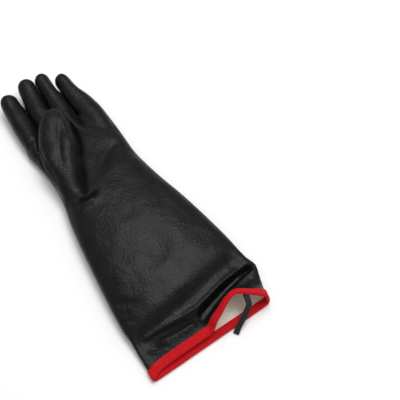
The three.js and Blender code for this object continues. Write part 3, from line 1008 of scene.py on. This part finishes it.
def cotton():
    material, shader = new_material("cream_cotton", Roughness=0.95, Specular_IOR_Level=0.2, Sheen_Weight=0.25)
    place = across_cloth(material, MOUTH_ROUND, LINING_END)
    knit = crossed_ribs(material, place, WALE, COURSE, KNIT_BEND)
    fuzz = speckle(material, object_place(material), Scale=160, Detail=6.0)
    # The knit's valleys are darker: painted shade. The fuzz adds the cotton's own random tone
    shade = math_node(material, "ADD", math_node(material, "MULTIPLY", knit, KNIT_PAINTED_SHADE),
                      between(material, fuzz, -0.2, 0.8))
    colour = blend_colours(material, shade, COTTON_SHADE, COTTON_LIGHT)
    normal = bump(material, knit, KNIT_HIGH)
    normal = bump(material, fuzz, FUZZ_HIGH, normal)
    link_shader(material, shader, Base_Color=colour, Normal=normal)
    return material


finish_piece(lining, "lining", cotton())

# %% [markdown]
# The red tape
#
# A woven tape binds the edge. It is folded over the rubber and the lining, 9 mm outside and 7 mm inside,
# and hides the cut. We cut it flat, as long as the mouth is round, and lay it so: down the outside, round
# the edge in a half circle, and up the inside.

# %% Lay the tape
BINDING_DEPTH, BINDING_INSIDE = 9, 7
TAPE_ROUND = (SHELL_WALL + LINING_WALL + GAP) / 2 + GAP  # the half circle round the stack's edge
TAPE_WIDTH = BINDING_DEPTH + math.pi * TAPE_ROUND + BINDING_INSIDE
TAPE_COLUMNS, TAPE_ROWS = 230, 22


def tape_place(around, across, out):
    turned = np.clip((across - BINDING_DEPTH) / TAPE_ROUND, 0, np.pi)
    past = np.maximum(across - BINDING_DEPTH - np.pi * TAPE_ROUND, 0)
    y = np.maximum(BINDING_DEPTH - across, 0) - (TAPE_ROUND + out) * np.sin(turned) + past
    return on_skin(around, y, GAP - TAPE_ROUND + (TAPE_ROUND + out) * np.cos(turned))


tape = flat_cloth("red_binding", TAPE_COLUMNS, TAPE_ROWS, MOUTH_ROUND, TAPE_WIDTH)
lay(tape, tape_place)
apply_modifier(tape, "SOLIDIFY", thickness=TAPE * MM, offset=1)
print("tape, mm:", round(MOUTH_ROUND), "x", round(TAPE_WIDTH, 1))

# %% Woven tape
RED_THREAD, RED_SHADE = (0.62, 0.008, 0.014, 1), (0.36, 0.003, 0.006, 1)
TAPE_RIB, TAPE_PICK = 0.85, 1.1
WEAVE_BEND = 0.3
WEAVE_HIGH, UNEVEN_HIGH = 0.00022, 0.00035  # metres


def woven(name, length, width, light, shade, rib, pick, roughness, sheen):
    """A narrow woven tape: ribs of a spacing, crossed by threads of another, painted darker between its
    threads as shade, and uneven all over.
    """
    material, shader = new_material(name, Roughness=roughness, Specular_IOR_Level=0.15, Sheen_Weight=sheen)
    weave = crossed_ribs(material, across_cloth(material, length, width), rib, pick, WEAVE_BEND)
    uneven = speckle(material, object_place(material), Scale=210, Detail=4.0)
    # darker between the threads: painted shade; the uneven noise is the tape's own random tone
    tone_and_painted_shade = math_node(material, "ADD", between(material, weave, 0.0, 0.4), between(material, uneven, 0.0, 1.0))
    colour = blend_colours(material, tone_and_painted_shade, shade, light)
    normal = bump(material, weave, WEAVE_HIGH)
    normal = bump(material, uneven, UNEVEN_HIGH, normal)
    link_shader(material, shader, Base_Color=colour, Normal=normal)
    return material


finish_piece(tape, "edge_binding",
             woven("red_woven_tape", MOUTH_ROUND, TAPE_WIDTH, RED_THREAD, RED_SHADE, TAPE_RIB, TAPE_PICK,
                   roughness=0.8, sheen=0.0))

# %% [markdown]
# The stitches
#
# One row of red thread holds the tape, a little in from its outer edge. A stitch is a short round-ended
# thread, half sunk in the tape. We model one, repeat it flat in a row with the Array modifier, and lay
# the row with the tape.

# %% Sew the tape down
STITCH_LONG, STITCH_THICK = 2.7, 0.62
STITCH_PITCH_NEAR = 3.5
STITCH_IN = 1.7  # from the tape's outer edge
STITCH_UP = 0.05  # its middle stands this much above the tape
THREAD_SHADE, THREAD_LIGHT = (0.30, 0.004, 0.008, 1), (0.66, 0.02, 0.028, 1)
TWIST, TWIST_HIGH = 1500, 0.0002
STITCH_COUNT = round(MOUTH_ROUND / STITCH_PITCH_NEAR)
STITCH_PITCH = MOUTH_ROUND / STITCH_COUNT


def add_stitches():
    deselect_all()
    bpy.ops.mesh.primitive_uv_sphere_add(segments=8, ring_count=6, radius=MM / 2)
    stitch = bpy.context.object
    stitch.name = "binding_stitches"
    bpy.ops.object.mode_set(mode="EDIT")
    bpy.ops.transform.resize(value=(STITCH_LONG, STITCH_THICK, STITCH_THICK), center_override=(0, 0, 0))
    bpy.ops.transform.translate(value=(STITCH_PITCH / 2 * MM, STITCH_IN * MM, (TAPE + STITCH_UP) * MM))
    bpy.ops.object.mode_set(mode="OBJECT")
    apply_modifier(stitch, "ARRAY", count=STITCH_COUNT, use_relative_offset=False, use_constant_offset=True,
                   constant_offset_displace=(STITCH_PITCH * MM, 0, 0))
    lay(stitch, tape_place)
    return stitch


def thread():
    material, shader = new_material("red_thread", Roughness=0.55, Specular_IOR_Level=0.4)
    twist = speckle(material, object_place(material), Scale=TWIST, Detail=1.0)
    colour = blend_colours(material, twist, THREAD_SHADE, THREAD_LIGHT)
    link_shader(material, shader, Base_Color=colour, Normal=bump(material, twist, TWIST_HIGH))
    return material


stitches = add_stitches()
finish_piece(stitches, "edge_binding", thread())
print("stitches:", STITCH_COUNT)

# %% [markdown]
# The hanging loop
#
# A black tape is folded in two and sewn inside the red one, under the top of the arch. It hangs out of the
# mouth over the lower layer, and its fold ends square. We cut it flat again, and lay it: out along the
# lower run, round the fold, and back along the upper run.

# %% Lay the loop
LOOP_WIDTH, LOOP_TAPE, LOOP_SLIT = 7.0, 1.1, 0.5
LOOP_SEAT, SEAT_IN = 67, 3.0  # where across the mouth it is sewn, looked for this far in from the edge
LOOP_LEAVES = 0.8  # how far it has come off its seat at the mouth's edge
LOOP_FREE = [(60.8, 5.8, 20), (54.4, 1.2, 13.8), (47.5, -2.5, 9.9), (39, -6.8, 6.4), (34.5, -9.5, 3.6),
             (31.5, -11.4, 1.9)]
LOOP_STEPS = 400
LOOP_COLUMNS, LOOP_ROWS = 120, 6
LOOP_RIB, LOOP_PICK = 0.8, 1.0
LOOP_LEVELS = (0.15, 1)  # over this share of its course it turns from its seat to level
SHARE_NEAR = 0.01  # the share of its course over which its direction is measured
TAPE_INSIDE = 2 * TAPE_ROUND - GAP + TAPE  # the inner face of the red tape


def loop_seat():
    """Where the loop is sewn on the inner leg of the tape under the arch: deep and at the edge."""
    tops = np.linspace(0, MOUTH_ROUND / 2, LOOP_STEPS)
    seat = tops[np.argmin(np.abs(on_skin(tops, np.full(LOOP_STEPS, SEAT_IN), 0)[:, 0] - LOOP_SEAT))]
    down = TAPE_INSIDE + GAP + LOOP_TAPE + LOOP_SLIT / 2
    places = on_skin(np.full(2, seat), np.array([BINDING_INSIDE, 0.0]), -np.array([down, down + LOOP_LEAVES]))
    before, after = (on_skin(np.full(1, seat + step), np.array([SEAT_IN]), -down) for step in (-1, 1))
    return places, unit(after - before)[0]


def smooth_course(points, share):
    """A place on a smooth curve through points at even shares."""
    rows = [{"i": i, "x": p[0], "y": p[1], "z": p[2]} for i, p in enumerate(points)]
    return np.stack([value_at(rows, "i", share * (len(points) - 1), column) for column in "xyz"], axis=1)


seat_places, seat_side = loop_seat()
LOOP_POINTS = np.concatenate([seat_places, np.array(LOOP_FREE)])
COURSE_SHARES = np.linspace(0, 1, LOOP_STEPS)
fine_course = smooth_course(LOOP_POINTS, COURSE_SHARES)
course_lengths = np.concatenate([[0], np.cumsum(np.linalg.norm(np.diff(fine_course, axis=0), axis=1))])
LOOP_RUN = course_lengths[-1]
FOLD_ROUND = (LOOP_SLIT + LOOP_TAPE) / 2
LOOP_LENGTH = 2 * LOOP_RUN + math.pi * FOLD_ROUND


def loop_place(along, across, out):
    """Along the tape: out by the lower run, round the fold, and back by the upper one."""
    turned = np.clip((along - LOOP_RUN) / FOLD_ROUND, 0, np.pi)
    gone = np.minimum(along, LOOP_RUN) - np.maximum(along - LOOP_RUN - np.pi * FOLD_ROUND, 0)
    share = np.interp(gone, course_lengths, COURSE_SHARES)
    centre = smooth_course(LOOP_POINTS, share)
    further = smooth_course(LOOP_POINTS, np.minimum(share + SHARE_NEAR, 1))
    ahead = unit(further - smooth_course(LOOP_POINTS, np.maximum(share - SHARE_NEAR, 0)))
    level = unit(np.cross(ahead, np.array([[0, 0, 1.0]])))
    part = smoothstep(*LOOP_LEVELS, share)[:, None]
    seat = seat_side * np.sign(seat_side @ level.mean(axis=0))
    side = seat * (1 - part) + level * part
    side = unit(side - ahead * np.sum(side * ahead, axis=1, keepdims=True))
    up = np.cross(side, ahead)
    apart = (FOLD_ROUND + out)[:, None]
    lies = -up * np.cos(turned)[:, None] + ahead * np.sin(turned)[:, None]
    return centre + lies * apart + side * (across - LOOP_WIDTH / 2)[:, None]


loop = flat_cloth("hanging_loop", LOOP_COLUMNS, LOOP_ROWS, LOOP_LENGTH, LOOP_WIDTH)
lay(loop, loop_place)
apply_modifier(loop, "SOLIDIFY", thickness=LOOP_TAPE * MM, offset=0)
BLACK_THREAD, BLACK_SHADE = (0.020, 0.023, 0.021, 1), (0.006, 0.007, 0.006, 1)
finish_piece(loop, "hang_loop",
             woven("black_woven_tape", LOOP_LENGTH, LOOP_WIDTH, BLACK_THREAD, BLACK_SHADE, LOOP_RIB,
                   LOOP_PICK, roughness=0.7, sheen=0.1))
print("loop tape, mm:", round(LOOP_LENGTH), "x", LOOP_WIDTH)
